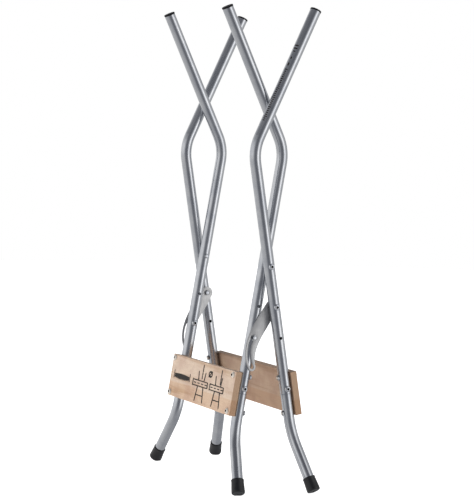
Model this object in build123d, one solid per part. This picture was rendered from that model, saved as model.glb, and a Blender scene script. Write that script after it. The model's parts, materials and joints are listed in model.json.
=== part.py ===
from build123d import *
import os
from math import cos, radians, sin, sqrt, tan

# Folding log sawhorse: two scissor frames of bent steel tube that cross at a pair of pivots.
# The inner frame carries the front board, the outer frame the rear board, and a slotted stay
# on each side limits how far the feet spread. All sizes are millimetres and degrees.
# X runs along the boards, Y is the direction the feet spread, Z is up.
# The origin is on the floor at the middle, and the sawhorse stands as it does when closed.

os.makedirs("parts", exist_ok=True)

# --- Leg tubes -----------------------------------------------------------------------------
tube_dia = 25.0
tube_wall = 1.5
inner_leg_x = 162.0          # centre line of an inner leg's straight run
frame_gap = 3.0              # space between an inner and an outer leg where they cross

run_lean = 9.65              # straight run, from vertical
arm_lean = 25.1              # upper arm, from vertical
splay_out = 31.4             # foot, from vertical, outwards along the boards
splay_back = 10.6            # foot, from vertical, in the spread direction

top_height = 1080.0          # middle of the top plug
mid_bend_height = 765.0
pivot_height = 505.0
stay_pivot_height = 414.0
slot_bolt_height = 344.0
joint_bolt_height = 229.0
board_height = 215.0         # middle of both boards, measured on the leg's centre line
low_bend_height = 128.0
mid_bend_radius = 100.0
low_bend_radius = 120.0

# --- Plug-in foot tubes --------------------------------------------------------------------
seam_drop = 11.0             # the seam lies this far below the joint bolt
spigot_length = 50.0
spigot_clearance = 0.1
neck_length = 6.0            # where the foot tube narrows into its spigot
seam_chamfer = 1.0

# --- Rubber feet and top plugs -------------------------------------------------------------
foot_wall = 2.8              # round the sole
foot_mouth_wall = 1.6        # at the mouth
foot_length = 33.0
foot_sole = 6.0
foot_round = 3.5
foot_bead = 0.5              # rolled bead round the mouth
foot_bead_length = 3.0
sole_cut = 1.2               # depth of the flat worn where the sole meets the floor
push_clearance = 0.1
plug_flange = 4.0
plug_overhang = 0.5          # the flange is this much wider than the tube, all round
plug_round = 1.2
plug_stub = 20.0
plug_wall = 2.5

# --- Boards --------------------------------------------------------------------------------
board_width = 100.0
board_thickness = 15.0
board_edge_round = 1.0
board_bolt_margin = 9.0      # bolt centre from the board's long edge

# --- Bolts, nuts and washers ---------------------------------------------------------------
bolt_dia = 6.0
hole_clearance = 1.0         # every cross hole in the tubes is this much wider than a bolt
board_hole_clearance = 0.6
running_clearance = 0.07     # round a pivot's shoulder
seat_gap = 0.05              # between fastened faces
moving_gap = 0.3             # between faces that turn past each other
head_dia = 14.0
head_height = 4.2
head_rim = 0.9
socket_across = 6.0
socket_depth = 2.6
nut_across = 10.0
nut_height = 4.0
thread_clearance = 0.05
thread_showing = 0.8
spacer_dia = 16.0
slot_washer_dia = 14.0
slot_washer_thickness = 1.2

# --- Stays ---------------------------------------------------------------------------------
fold_range = 42.0            # how far the inner frame opens from the closed position
stay_ratio = 1.6             # turn of the stay for each degree the inner frame opens
stay_thickness = 2.0
stay_boss_radius = 14.5
slot_play = 2.5              # the slot is this much wider than its bolt
slot_rim = 5.0
slot_inner_rim = 12.0        # on the hollow side, at the middle of the slot
slot_ease = 0.8              # the slot is flatter than the bolt's path by this, at middle and ends
slot_arcs = 3                # the slot's centre line is this many arcs
waist_width = 32.0           # stay's width between its boss and its slot
waist_place = 0.62           # where that is, as a share of the way from boss to slot

# --- Sizes that follow ---------------------------------------------------------------------
tube_radius = tube_dia / 2
tube_bore = tube_radius - tube_wall
outer_leg_x = inner_leg_x + tube_dia + frame_gap
seam_height = joint_bolt_height - seam_drop
hole_dia = bolt_dia + hole_clearance
board_hole_dia = bolt_dia + board_hole_clearance
slot_width = bolt_dia + slot_play
shoulder_dia = hole_dia - 2 * running_clearance
stay_side_gap = (frame_gap - stay_thickness) / 2
board_bolt_rise = (board_width / 2 - board_bolt_margin) * cos(radians(run_lean))
board_bolt_heights = (board_height - board_bolt_rise, board_height + board_bolt_rise)

SIDES = {"right": 1, "left": -1}
FRAMES = {"outer": 1, "inner": -1}      # the outer frame's feet are towards +Y
LEG_X = {"outer": outer_leg_x, "inner": inner_leg_x}
BOARDS = {"outer": "rear_board", "inner": "front_board"}

nodes = {}


# --- Where things are ----------------------------------------------------------------------
def on_run(x, facing, height):
    """Point on the centre line of a leg's straight run, or on that line carried on."""
    return Vector(x, facing * (pivot_height - height) * tan(radians(run_lean)), height)


def run_up(facing):
    """Unit vector up a leg's straight run."""
    return Vector(0, -facing * sin(radians(run_lean)), cos(radians(run_lean)))


def board_out(facing):
    """Unit vector square to the run, towards the side the board is on."""
    return Vector(0, facing * cos(radians(run_lean)), sin(radians(run_lean)))


def foot_down(side, facing):
    """Unit vector down the splayed foot."""
    return Vector(side * tan(radians(splay_out)), facing * tan(radians(splay_back)), -1).normalized()


def sole_height():
    """Height of the sole's middle, so that the tilted foot's edge is cut flat by sole_cut."""
    level = -foot_down(1, 1).Z
    slope = sqrt(1 - level**2)
    rim = tube_radius + foot_wall - foot_round
    return rim * slope + foot_round * (1 - level) - sole_cut


def sole_middle(side, frame):
    """Middle of the sole on the foot's centre line."""
    bend = on_run(side * LEG_X[frame], FRAMES[frame], low_bend_height)
    down = foot_down(side, FRAMES[frame])
    return bend + down * ((low_bend_height - sole_height()) / -down.Z)


def arm_up(facing):
    """Unit vector up the upper arm."""
    return Vector(0, facing * sin(radians(arm_lean)), cos(radians(arm_lean)))


def top_middle(side, frame):
    """Middle of the top plug's outer face."""
    bend = on_run(side * LEG_X[frame], FRAMES[frame], mid_bend_height)
    return bend + arm_up(FRAMES[frame]) * ((top_height - mid_bend_height) / cos(radians(arm_lean)))


# --- Shapes used more than once ------------------------------------------------------------
def cylinder_along(centre, direction, diameter, length):
    """Cylinder centred on a point."""
    return Plane(origin=centre, z_dir=direction) * Cylinder(diameter / 2, length)


def turned(outline):
    """Solid of revolution about Z from (radius, height) points."""
    face = make_face(Plane.XZ * Polyline(*outline, close=True))
    return revolve(face, Axis.Z)


def bent_tube(points, radius):
    """Round tube whose centre line follows the points, with bends of one radius."""
    path = FilletPolyline(*points, radius=radius)
    ring = Circle(tube_radius) - Circle(tube_bore)
    return sweep(Plane(origin=path @ 0, z_dir=path % 0) * ring, path=path)


def bolt(seat, direction, length, shoulder=0.0):
    """Button-head bolt: the head's flat is at seat and the shank runs along direction."""
    body = Cylinder(bolt_dia / 2, length, align=(Align.CENTER, Align.CENTER, Align.MIN))
    body = chamfer(body.edges().sort_by(Axis.Z)[-1], thread_clearance * 10)
    if shoulder:
        body += Cylinder(shoulder_dia / 2, shoulder, align=(Align.CENTER, Align.CENTER, Align.MIN))
    rim = head_dia / 2
    crown = rim * 0.55
    shoulder_point = (rim * 0.8, -head_rim - (head_height - head_rim) * 0.66)
    dome = ThreePointArc((rim, -head_rim), shoulder_point, (crown, -head_height))
    rest = Polyline((crown, -head_height), (0, -head_height), (0, 0), (rim, 0), (rim, -head_rim))
    head = revolve(make_face(Plane.XZ * (Curve() + dome + rest)), Axis.Z)
    socket = RegularPolygon(socket_across / 2, 6, major_radius=False)
    head -= Pos(0, 0, -head_height) * extrude(socket, socket_depth)
    return Plane(origin=seat, z_dir=direction) * (body + head)


def hex_nut(seat, direction):
    """Hexagon nut with turned-off corners, its bearing face at seat."""
    blank = extrude(RegularPolygon(nut_across / 2, 6, major_radius=False), nut_height)
    corner = nut_across / sqrt(3)
    drop = corner - nut_across * 0.48
    envelope = turned([
        (0, 0), (nut_across * 0.48, 0), (corner, drop * 0.6), (corner, nut_height - drop * 0.6),
        (nut_across * 0.48, nut_height), (0, nut_height),
    ])
    bore = Cylinder(bolt_dia / 2 + thread_clearance, 3 * nut_height)
    return Plane(origin=seat, z_dir=direction) * ((blank & envelope) - bore)


def washer(seat, direction, outer, bore, thickness):
    """Flat washer with its lower face at seat."""
    ring = extrude(Circle(outer / 2) - Circle(bore / 2), thickness)
    return Plane(origin=seat, z_dir=direction) * ring


# --- Legs ----------------------------------------------------------------------------------
def leg_holes(side, frame):
    """Every drill that goes through a leg: four across it and two for its board."""
    facing, x = FRAMES[frame], side * LEG_X[frame]
    reach = 2 * tube_dia
    across = (pivot_height, stay_pivot_height, slot_bolt_height, joint_bolt_height)
    drills = [cylinder_along(on_run(x, facing, z), Vector(1, 0, 0), hole_dia, reach) for z in across]
    drills += [
        cylinder_along(on_run(x, facing, z), board_out(facing), hole_dia, reach)
        for z in board_bolt_heights
    ]
    return drills


def upper_tube(side, frame):
    """Bent tube from the seam to the top plug."""
    facing, x = FRAMES[frame], side * LEG_X[frame]
    end = top_middle(side, frame) - arm_up(facing) * plug_flange
    points = [on_run(x, facing, seam_height), on_run(x, facing, mid_bend_height), end]
    return bent_tube(points, mid_bend_radius) - leg_holes(side, frame)


def foot_tube(side, frame):
    """Splayed lower tube with a narrowed spigot that plugs into the upper tube."""
    facing, x = FRAMES[frame], side * LEG_X[frame]
    seam = on_run(x, facing, seam_height) - run_up(facing) * seat_gap
    neck = seam - run_up(facing) * neck_length
    end = sole_middle(side, frame) - foot_down(side, facing) * foot_sole
    tube = bent_tube([neck, on_run(x, facing, low_bend_height), end], low_bend_radius)
    spigot_radius = tube_bore - spigot_clearance
    spigot_bore = spigot_radius - tube_wall
    spigot = turned([
        (tube_bore, -neck_length), (tube_radius, -neck_length), (tube_radius, -seam_chamfer),
        (tube_radius - seam_chamfer, 0), (spigot_radius, 0), (spigot_radius, spigot_length),
        (spigot_bore, spigot_length), (spigot_bore, 0),
    ])
    return (tube + Plane(origin=seam, z_dir=run_up(facing)) * spigot) - leg_holes(side, frame)


def rubber_foot(side, frame):
    """Ferrule pushed over the foot tube, square to it, with a flat where it meets the floor."""
    down = foot_down(side, FRAMES[frame])
    outside = tube_radius + foot_wall
    mouth = tube_radius + foot_mouth_wall
    inside = tube_radius + push_clearance
    shell = turned([
        (0, 0), (outside, 0), (outside, 2 * foot_round), (mouth, foot_length - foot_bead_length),
        (mouth + foot_bead, foot_length - foot_bead_length * 0.75), (mouth + foot_bead, foot_length),
        (inside, foot_length), (inside, foot_sole), (0, foot_sole),
    ])
    shell = fillet(shell.edges().group_by(Axis.Z)[0], foot_round)
    placed = Plane(origin=sole_middle(side, frame), z_dir=-down) * shell
    middle = sole_middle(side, frame)
    floor = Pos(middle.X, middle.Y, 0) * Box(
        6 * tube_dia, 6 * tube_dia, tube_dia, align=(Align.CENTER, Align.CENTER, Align.MAX)
    )
    return placed - floor


def top_plug(side, frame):
    """Plastic end plug: a thin flange over the tube's end and a hollow stub inside it."""
    stub = tube_bore - push_clearance
    rim = tube_radius + plug_overhang
    plug = turned([
        (0, 0), (rim, 0), (rim, -plug_flange + seat_gap), (stub, -plug_flange + seat_gap),
        (stub, -plug_flange - plug_stub), (stub - plug_wall, -plug_flange - plug_stub),
        (stub - plug_wall, -plug_flange), (0, -plug_flange),
    ])
    plug = fillet(plug.edges().group_by(Axis.Z)[-1], plug_round)
    return Plane(origin=top_middle(side, frame), z_dir=arm_up(FRAMES[frame])) * plug


for frame in FRAMES:
    for side_name, side in SIDES.items():
        nodes[f"{frame}_{side_name}_upper_tube"] = upper_tube(side, frame)
        nodes[f"{frame}_{side_name}_foot_tube"] = foot_tube(side, frame)
        nodes[f"{frame}_{side_name}_rubber_foot"] = rubber_foot(side, frame)
        nodes[f"{frame}_{side_name}_top_plug"] = top_plug(side, frame)


# --- Boards and their bolts ----------------------------------------------------------------
def board(frame):
    """Plywood board across a frame's legs, its ends flush with the tubes' outer sides."""
    facing = FRAMES[frame]
    middle = on_run(0, facing, board_height)
    middle += board_out(facing) * (tube_radius + seat_gap + board_thickness / 2)
    plane = Plane(origin=middle, x_dir=Vector(1, 0, 0), z_dir=board_out(facing))
    plank = Box(2 * LEG_X[frame] + tube_dia, board_width, board_thickness)
    plank = plane * fillet(plank.edges(), board_edge_round)
    for side in SIDES.values():
        for z in board_bolt_heights:
            centre = on_run(side * LEG_X[frame], facing, z)
            plank -= cylinder_along(centre, board_out(facing), board_hole_dia, 4 * tube_dia)
    return plank


def board_fixings(frame):
    """The four bolts of a board, and their nuts on the far side of the legs."""
    facing = FRAMES[frame]
    out = board_out(facing)
    stack = 2 * tube_radius + 3 * seat_gap + board_thickness
    bolts, nuts = [], []
    for side in SIDES.values():
        for z in board_bolt_heights:
            centre = on_run(side * LEG_X[frame], facing, z)
            face = centre + out * (tube_radius + board_thickness + 2 * seat_gap)
            bolts.append(bolt(face, -out, stack + nut_height + thread_showing))
            nuts.append(hex_nut(centre - out * (tube_radius + seat_gap), -out))
    return bolts, nuts


for frame, board_name in BOARDS.items():
    board_bolts, board_nuts = board_fixings(frame)
    nodes[board_name] = board(frame)
    nodes[f"{board_name}_bolts"] = Compound(children=board_bolts)
    nodes[f"{board_name}_nuts"] = Compound(children=board_nuts)


# --- Joint bolts that hold the foot tubes --------------------------------------------------
def joint_fixings(frame):
    """One bolt and nut through each leg of a frame and the spigot inside it."""
    facing = FRAMES[frame]
    bolts, nuts = [], []
    for side in SIDES.values():
        outward = Vector(side, 0, 0)
        centre = on_run(side * LEG_X[frame], facing, joint_bolt_height)
        seat = tube_radius + seat_gap
        bolts.append(bolt(centre + outward * seat, -outward, 2 * seat + nut_height + thread_showing))
        nuts.append(hex_nut(centre - outward * seat, -outward))
    return bolts, nuts


for frame in FRAMES:
    joint_bolts, joint_nuts = joint_fixings(frame)
    nodes[f"{frame}_joint_bolts"] = Compound(children=joint_bolts)
    nodes[f"{frame}_joint_nuts"] = Compound(children=joint_nuts)


# --- Stays ---------------------------------------------------------------------------------
def turned_open(vector, angle):
    """A (y, z) pair turned the way the inner frame opens: down goes towards -Y."""
    c, s = cos(radians(angle)), sin(radians(angle))
    return (vector[0] * c + vector[1] * s, -vector[0] * s + vector[1] * c)


def bolt_in_stay(opening):
    """Where the slot bolt is, as (y, z) on the stay as it stands closed, when the frame is open."""
    stay_pivot = on_run(0, 1, stay_pivot_height)
    slot_bolt = on_run(0, -1, slot_bolt_height)
    arm = turned_open((slot_bolt.Y, slot_bolt.Z - pivot_height), opening)
    from_pivot = (arm[0] - stay_pivot.Y, arm[1] + pivot_height - stay_pivot.Z)
    back = turned_open(from_pivot, -stay_ratio * opening)
    return Vector(stay_pivot.Y + back[0], stay_pivot.Z + back[1])


def slot_line():
    """Centre line of the slot: the bolt's path, made a little flatter within the slot's play."""
    steps = 2 * slot_arcs
    path = [bolt_in_stay(fold_range * i / steps) for i in range(steps + 1)]
    chord = (path[-1] - path[0]).normalized()
    bulge = Vector(chord.Y, -chord.X)
    if (path[slot_arcs] - path[0]).dot(bulge) < 0:
        bulge = -bulge
    points = [p + bulge * (slot_ease * cos(radians(360 * i / steps))) for i, p in enumerate(path)]
    arcs = [ThreePointArc(*points[2 * i:2 * i + 3]).edge() for i in range(slot_arcs)]
    return Wire(arcs), bulge


def stay(side):
    """Flat steel stay: a round boss on the outer leg and a long slot round the inner leg's bolt."""
    boss = on_run(0, 1, stay_pivot_height)
    boss = Vector(boss.Y, boss.Z)
    line, bulge = slot_line()
    band = slot_width / 2 + slot_rim
    start, middle, end = line @ 0, line @ 0.5, line @ 1
    along = (start - boss).normalized()
    across = Vector(along.Y, -along.X)
    if across.dot(bulge) < 0:
        across = -across
    waist = boss + (start - boss) * waist_place
    outer_edge = Spline(
        boss + across * stay_boss_radius,
        waist + across * waist_width / 2,
        middle + bulge * band,
        end + bulge * band,
    )
    inner_edge = Spline(
        end - bulge * band,
        middle - bulge * (slot_width / 2 + slot_inner_rim),
        waist - across * waist_width / 2,
        boss - across * stay_boss_radius,
    )
    tip_line = Line(outer_edge @ 1, inner_edge @ 0)
    boss_line = Line(inner_edge @ 1, outer_edge @ 0)
    plate = make_face(Curve() + outer_edge + tip_line + inner_edge + boss_line)
    plate = plate + Pos(*boss) * Circle(stay_boss_radius) + SlotArc(line, 2 * band)
    plate = plate - Pos(*boss) * Circle(hole_dia / 2) - SlotArc(line, slot_width)
    inner_face = inner_leg_x + tube_radius + stay_side_gap
    near = inner_face if side > 0 else -inner_face - stay_thickness
    return extrude(Plane.YZ.offset(near) * plate, stay_thickness)


for side_name, side in SIDES.items():
    nodes[f"{side_name}_stay"] = stay(side)


# --- Pivots of the frames and stays --------------------------------------------------------
for side_name, side in SIDES.items():
    outward = Vector(side, 0, 0)
    outer_seat = outer_leg_x + tube_radius + seat_gap

    # Frame pivot: through the outer leg, the spacer and the inner leg.
    pivot = on_run(0, 1, pivot_height)
    shoulder = outer_seat - (inner_leg_x - tube_radius - moving_gap)
    nodes[f"{side_name}_pivot_bolt"] = bolt(
        pivot + outward * outer_seat, -outward, shoulder + nut_height + thread_showing, shoulder
    )
    nodes[f"{side_name}_pivot_nut"] = hex_nut(pivot + outward * (outer_seat - shoulder), -outward)
    nodes[f"{side_name}_pivot_spacer"] = washer(
        pivot + outward * (inner_leg_x + tube_radius + moving_gap), outward, spacer_dia,
        hole_dia, frame_gap - moving_gap - seat_gap,
    )

    # Stay pivot: fixed in the outer leg, the stay turns on its shoulder.
    pivot = on_run(0, 1, stay_pivot_height)
    shoulder = outer_seat - (inner_leg_x + tube_radius + stay_side_gap - moving_gap)
    nodes[f"{side_name}_stay_bolt"] = bolt(
        pivot + outward * outer_seat, -outward, shoulder + nut_height + thread_showing, shoulder
    )
    nodes[f"{side_name}_stay_nut"] = hex_nut(pivot + outward * (outer_seat - shoulder), -outward)

    # Slot bolt: fixed in the inner leg, it slides in the stay's slot.
    centre = on_run(0, -1, slot_bolt_height)
    inner_seat = inner_leg_x - tube_radius - seat_gap
    washer_seat = inner_leg_x + tube_radius + stay_side_gap + stay_thickness + moving_gap
    nut_seat = washer_seat + slot_washer_thickness + seat_gap
    nodes[f"{side_name}_slot_bolt"] = bolt(
        centre + outward * inner_seat, outward, nut_seat - inner_seat + nut_height + thread_showing
    )
    nodes[f"{side_name}_slot_washer"] = washer(
        centre + outward * washer_seat, outward, slot_washer_dia, bolt_dia + 2 * thread_clearance,
        slot_washer_thickness,
    )
    nodes[f"{side_name}_slot_nut"] = hex_nut(centre + outward * nut_seat, outward)


for name, shape in nodes.items():
    export_step(shape, f"parts/{name}.step")
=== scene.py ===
import json
from math import cos, degrees, pi, radians, sin, sqrt, tan

import bmesh
import bpy
from mathutils import Matrix, Vector


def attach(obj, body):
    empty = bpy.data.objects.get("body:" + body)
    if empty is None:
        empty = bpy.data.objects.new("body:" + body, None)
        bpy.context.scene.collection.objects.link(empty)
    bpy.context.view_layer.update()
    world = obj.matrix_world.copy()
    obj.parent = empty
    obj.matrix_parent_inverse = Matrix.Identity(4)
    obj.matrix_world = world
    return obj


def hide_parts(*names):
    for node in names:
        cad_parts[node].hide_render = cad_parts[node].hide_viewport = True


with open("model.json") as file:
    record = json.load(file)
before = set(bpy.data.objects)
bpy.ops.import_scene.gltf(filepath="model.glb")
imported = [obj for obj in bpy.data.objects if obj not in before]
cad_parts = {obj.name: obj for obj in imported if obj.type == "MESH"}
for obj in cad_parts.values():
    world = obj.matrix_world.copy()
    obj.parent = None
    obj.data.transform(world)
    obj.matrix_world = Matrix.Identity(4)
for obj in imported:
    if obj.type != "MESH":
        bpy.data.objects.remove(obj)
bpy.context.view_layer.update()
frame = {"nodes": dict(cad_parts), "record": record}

bl_info = {
    "name": "Folding Log Sawhorse",
    "version": (1, 0, 0),
    "blender": (4, 5, 0),
    "location": "3D View > Sidebar > Sawhorse",
    "description": "Finishes and small parts of a folding log sawhorse, built on its packed frame",
    "category": "Object",
}

MM = 0.001
WELD = 1e-6  # vertices nearer than this are one, in metres
SIDES = {"right": 1, "left": -1}
FRAMES = {"outer": 1, "inner": -1}  # the outer frame's feet are towards +Y
BODIES = {"outer": "outer_frame", "inner": "inner_frame"}
BOARDS = {"outer": "rear_board", "inner": "front_board"}
X_AXIS = Vector((1, 0, 0))


# --- Colour, nodes and meshes ---
def linear(code):
    """sRGB hex value to a linear colour with alpha."""
    parts = [int(code.lstrip("#")[i:i + 2], 16) / 255 for i in (0, 2, 4)]
    return (*[p / 12.92 if p <= 0.04045 else ((p + 0.055) / 1.055) ** 2.4 for p in parts], 1.0)


def per_metre(millimetres):
    """Texture scale whose features are about this size."""
    return 1000 / millimetres


def add(tree, kind, inputs=(), stops=None, **settings):
    """Adds a shader node with its settings. Inputs are given by name or in order, and each is a plain
    value, a socket to link, or a node whose first output in use is linked. In order, a map range
    takes its value, the range it comes from and the range it goes to."""
    node = tree.nodes.new(f"ShaderNode{kind}")
    for key, value in settings.items():
        setattr(node, key, value)
    if stops:
        elements = node.color_ramp.elements
        while len(elements) < len(stops):
            elements.new(1.0)
        for element, (position, colour) in zip(elements, stops):
            element.position = position
            element.color = colour if hasattr(colour, "__len__") else (colour, colour, colour, 1.0)
    for key, value in inputs.items() if isinstance(inputs, dict) else enumerate(inputs):
        if isinstance(value, bpy.types.Node):
            value = next(output for output in value.outputs if output.enabled)
        if isinstance(value, bpy.types.NodeSocket):
            tree.links.new(value, node.inputs[key])
        else:
            node.inputs[key].default_value = value
    return node


def new_material(name):
    """Empty node material, and its tree."""
    material = bpy.data.materials.new(name)
    material.use_nodes = True
    material.node_tree.nodes.clear()
    return material, material.node_tree


def finish_material(tree, shader):
    """Sends a shader to the material's output."""
    add(tree, "OutputMaterial", {"Surface": shader})


def placed(origin, z_axis, x_axis=X_AXIS):
    """Matrix that puts local Z along z_axis at origin, and local X as near x_axis as it can."""
    z = Vector(z_axis).normalized()
    if abs(z.dot(x_axis)) > 0.999:
        x_axis = Vector((0, 1, 0))
    y = z.cross(x_axis).normalized()
    x = y.cross(z)
    return Matrix.Translation(origin) @ Matrix((x, y, z)).transposed().to_4x4()


def shape(name, bm, body, materials, replaces=(), smooth_under=35.0):
    """Turns a bmesh into a finished piece that rides on a body."""
    for face in bm.faces:
        face.smooth = True
    for edge in bm.edges:
        edge.smooth = len(edge.link_faces) == 2 and edge.calc_face_angle(0.0) < radians(smooth_under)
    mesh = bpy.data.meshes.new(name)
    bm.to_mesh(mesh)
    bm.free()
    for material in materials:
        mesh.materials.append(material)
    piece = bpy.data.objects.new(name, mesh)
    bpy.context.scene.collection.objects.link(piece)
    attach(piece, body)
    if replaces:
        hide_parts(*replaces)
    return piece


def paint(material, *names):
    """Gives CAD nodes a material."""
    for name in names:
        node = frame["nodes"][name]
        node.data.materials.clear()
        node.data.materials.append(material)


def faces_of(verts):
    """Every face that uses one of the vertices."""
    return list({face for vert in verts for face in vert.link_faces})


def cad_copy(name):
    """Merged copy of a CAD node's mesh."""
    bm = bmesh.new()
    bm.from_mesh(frame["nodes"][name].data)
    bmesh.ops.remove_doubles(bm, verts=bm.verts, dist=WELD)
    return bm


def spun(bm, outline, steps):
    """Turned shape about Z from (radius, height) points. Returns its vertices."""
    before = set(bm.verts)
    made = [bm.verts.new((r, 0, z)) for r, z in outline]
    edges = [bm.edges.new(pair) for pair in zip(made, made[1:])]
    bmesh.ops.spin(
        bm, geom=made + edges, cent=(0, 0, 0), axis=(0, 0, 1), angle=2 * pi, steps=steps,
        use_merge=True, use_duplicate=False,
    )
    bmesh.ops.remove_doubles(bm, verts=[v for v in bm.verts if v not in before], dist=WELD / 10)
    return [v for v in bm.verts if v not in before]


def settle(bm, verts, place):
    """Turns a finished closed shape's faces outwards and puts it in its place."""
    bmesh.ops.recalc_face_normals(bm, faces=faces_of(verts))
    bmesh.ops.transform(bm, matrix=place, verts=verts)


def rounded(corner, radius, start, end, steps=5):
    """Points of a quarter-round: centre, radius, and the two angles in degrees."""
    return [
        (corner[0] + radius * cos(radians(start + (end - start) * i / steps)),
         corner[1] + radius * sin(radians(start + (end - start) * i / steps)))
        for i in range(steps + 1)
    ]


# --- Where things are ---
def leg_x(layout, side, frame_name):
    """Centre line of a leg's straight run."""
    return side * (layout.outer_leg_x if frame_name == "outer" else layout.inner_leg_x)


def on_run(layout, x, facing, height):
    """Point on the centre line of a leg's straight run, or on that line carried on."""
    return Vector((x, facing * (layout.pivot_height - height) * tan(layout.run_lean), height))


def board_out(layout, facing):
    """Unit vector square to the run, towards the side the board is on."""
    return Vector((0, facing * cos(layout.run_lean), sin(layout.run_lean)))


def arm_up(layout, facing):
    """Unit vector up the upper arm."""
    return Vector((0, facing * sin(layout.arm_lean), cos(layout.arm_lean)))


def foot_down(layout, side, facing):
    """Unit vector down the splayed foot."""
    return Vector((side * tan(layout.splay_out), facing * tan(layout.splay_back), -1)).normalized()


def on_arm(layout, side, frame_name, height):
    """Point on the centre line of an upper arm."""
    facing = FRAMES[frame_name]
    bend = on_run(layout, leg_x(layout, side, frame_name), facing, layout.mid_bend_height)
    return bend + arm_up(layout, facing) * ((height - layout.mid_bend_height) / cos(layout.arm_lean))


def board_middle(layout, frame_name):
    """Middle of a board's outer face."""
    facing = FRAMES[frame_name]
    reach = layout.tube_diameter / 2 + layout.seat_gap + layout.board_thickness
    return on_run(layout, 0, facing, layout.board_height) + board_out(layout, facing) * reach


def sole_middle(layout, feet, side, frame_name):
    """Middle of a rubber foot's sole, on the foot's centre line."""
    facing = FRAMES[frame_name]
    down = foot_down(layout, side, facing)
    slope = sqrt(1 - down.z ** 2)
    rim = layout.tube_diameter / 2 + feet.wall - feet.edge_round
    height = rim * slope + feet.edge_round * (1 + down.z) - feet.sole_cut
    bend = on_run(layout, leg_x(layout, side, frame_name), facing, layout.low_bend_height)
    return bend + down * ((layout.low_bend_height - height) / -down.z)


# --- Settings ---
def size(name, description, millimetres):
    """Length property, its default in millimetres."""
    return bpy.props.FloatProperty(
        name=name, description=description, default=millimetres * MM, min=0.0,
        unit="LENGTH", subtype="DISTANCE", precision=5,
    )


def turn(name, description, default):
    """Angle property, its default in degrees."""
    return bpy.props.FloatProperty(
        name=name, description=description, default=radians(default), unit="ROTATION", subtype="ANGLE",
    )


def colour(name, description, code):
    """Colour property, its default an sRGB hex value."""
    return bpy.props.FloatVectorProperty(
        name=name, description=description, default=linear(code), size=4, min=0.0, max=1.0, subtype="COLOR",
    )


def share(name, description, default, high=1.0):
    """Plain number from zero up."""
    return bpy.props.FloatProperty(
        name=name, description=description, default=default, min=0.0, max=high, subtype="FACTOR",
    )


class SawhorseLayout(bpy.types.PropertyGroup):
    """Sizes of the frame that the finished pieces are placed by, the same as in the part."""
    tube_diameter: size("Tube", "Outside diameter of the leg tubes", 25)
    inner_leg_x: size("Inner leg", "Centre line of an inner leg from the middle", 162)
    outer_leg_x: size("Outer leg", "Centre line of an outer leg from the middle", 190)
    run_lean: turn("Run lean", "Straight run, from vertical", 9.65)
    arm_lean: turn("Arm lean", "Upper arm, from vertical", 25.1)
    splay_out: turn("Splay out", "Foot, from vertical, along the boards", 31.4)
    splay_back: turn("Splay back", "Foot, from vertical, in the spread direction", 10.6)
    pivot_height: size("Pivot height", "Where the two frames cross", 505)
    mid_bend_height: size("Upper bend height", "Bend between run and arm", 765)
    low_bend_height: size("Lower bend height", "Bend between run and foot", 128)
    top_height: size("Top height", "Middle of the top plug's outer face", 1080)
    board_height: size("Board height", "Middle of both boards on the leg's centre line", 215)
    board_thickness: size("Board thickness", "Plywood thickness", 15)
    seat_gap: size("Seat gap", "Space between fastened faces", 0.05)


class SteelFinish(bpy.types.PropertyGroup):
    """Zinc on the tubes, stays and fasteners."""
    tube: colour("Tube zinc", "Bright zinc of the tubes", "#CBCDD1")
    tube_cloud: colour("Tube cloud", "Duller zinc in the clouded patches", "#BCBFC5")
    tube_roughness: share("Tube roughness", "Micro-roughness of the plated tube", 0.2)
    plate: colour("Stay zinc", "Zinc of the pressed stays", "#C8C8C8")
    plate_roughness: share("Stay roughness", "Micro-roughness of the rolled sheet", 0.45)
    fastener: colour("Bolt zinc", "Bright zinc of the bolts", "#DADCE1")
    nut: colour("Nut zinc", "Duller zinc of the nuts, washers and spacers", "#A4A6AA")
    fastener_roughness: share("Fastener roughness", "Micro-roughness of the fasteners", 0.24)
    edge_break: size("Broken edge", "Round left on the stays' punched edges by tumbling", 0.25)
    nickel: colour("Board bolts", "Satin nickel of the bolts' heads on the boards", "#E9E2D8")
    # The sockets' dark colour is partly grease and partly painted shade for their hollows.
    grease_and_shade: colour("Grease and shade", "Dark grease left in the bolts' sockets", "#15151A")


class BoardFinish(bpy.types.PropertyGroup):
    """Beech plywood boards and the ink on the front one."""
    face: colour("Front veneer", "Light tone of the front board's veneer", "#CDB8A4")
    face_dark: colour("Front band", "Growth bands of the front board's veneer", "#BBA085")
    # Rear tones: darker copies of the front veneer's tones, painted shade for the shadow on the rear board.
    shaded_rear_veneer: colour("Shaded rear veneer", "Light tone of the rear board's darker veneer", "#AE947D")
    shaded_rear_band: colour("Shaded rear band", "Growth bands of the rear board's veneer", "#987C63")
    fleck: colour("Fleck", "Small dark rays of the beech", "#8F6C50")
    # Edge and cross ply are darker than the veneer, partly for the plies' own grain and partly as painted
    # shade on the boards' ends.
    edge: colour("Edge", "Long grain of the plies on the boards' ends", "#B29479")
    core: colour("Cross ply and end shade", "End grain of the plies", "#83603F")
    glue: colour("Glue line", "Line of glue between plies", "#5E4029")
    ply_count: bpy.props.IntProperty(name="Plies", description="Number of plies", default=11, min=3)
    ink: colour("Ink", "Screen-printed ink", "#140D0A")
    ink_height: size("Ink height", "How far the ink stands above the veneer", 0.12)


class FootSettings(bpy.types.PropertyGroup):
    """Rubber feet."""
    wall: size("Wall", "Rubber around the tube at the sole", 2.8)
    mouth_wall: size("Mouth wall", "Rubber around the tube at the mouth", 1.6)
    length: size("Length", "Sole to mouth", 33)
    sole: size("Sole", "Thickness under the tube", 6)
    edge_round: size("Edge round", "Round between sole and side", 3.5)
    bead: size("Bead", "How far the rolled mouth stands out", 0.5)
    sole_cut: size("Sole cut", "Depth of the flat on the floor", 1.2)
    rubber: colour("Rubber", "Black moulded rubber", "#0F1014")
    dust: colour("Dust", "Dust caught by the rubber near the floor", "#26262A")


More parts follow.
